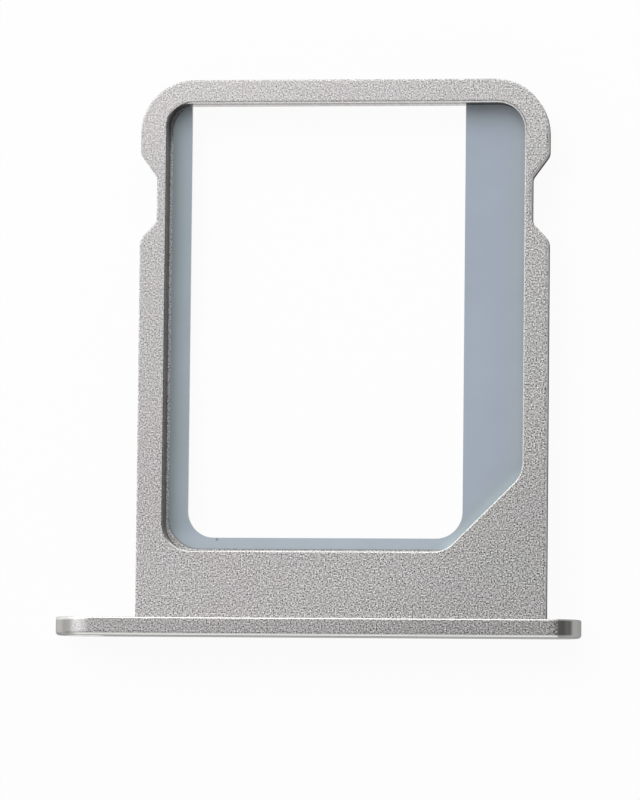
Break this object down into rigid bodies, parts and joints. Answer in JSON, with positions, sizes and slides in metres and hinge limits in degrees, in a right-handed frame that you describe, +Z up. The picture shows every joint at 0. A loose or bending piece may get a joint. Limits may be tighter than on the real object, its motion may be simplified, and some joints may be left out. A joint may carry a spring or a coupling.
{
  "type": "sim card tray",
  "caption": "One-piece steel tray that carries a small card in a stepped pocket, with side catches and a long oval face plate that has an eject hole.",
  "frame": {"origin": "under the middle of the whole tray: the middle of its box in X and Y, at the lower edge of the face plate in Z", "axes": "+X to the right along the face plate, away from the eject hole; +Y from the face plate to the far end of the frame, the way the tray goes into the phone; +Z up out of the card pocket"},
  "size_m": [0.0178, 0.0188, 0.002],
  "materials": {
    "tray_steel": "bead blasted frame, smooth milled pocket floor, polished plate ends, satin plate face"
  },
  "bodies": {
    "root": {"card_tray": "tray_steel"}
  },
  "joints": []
}
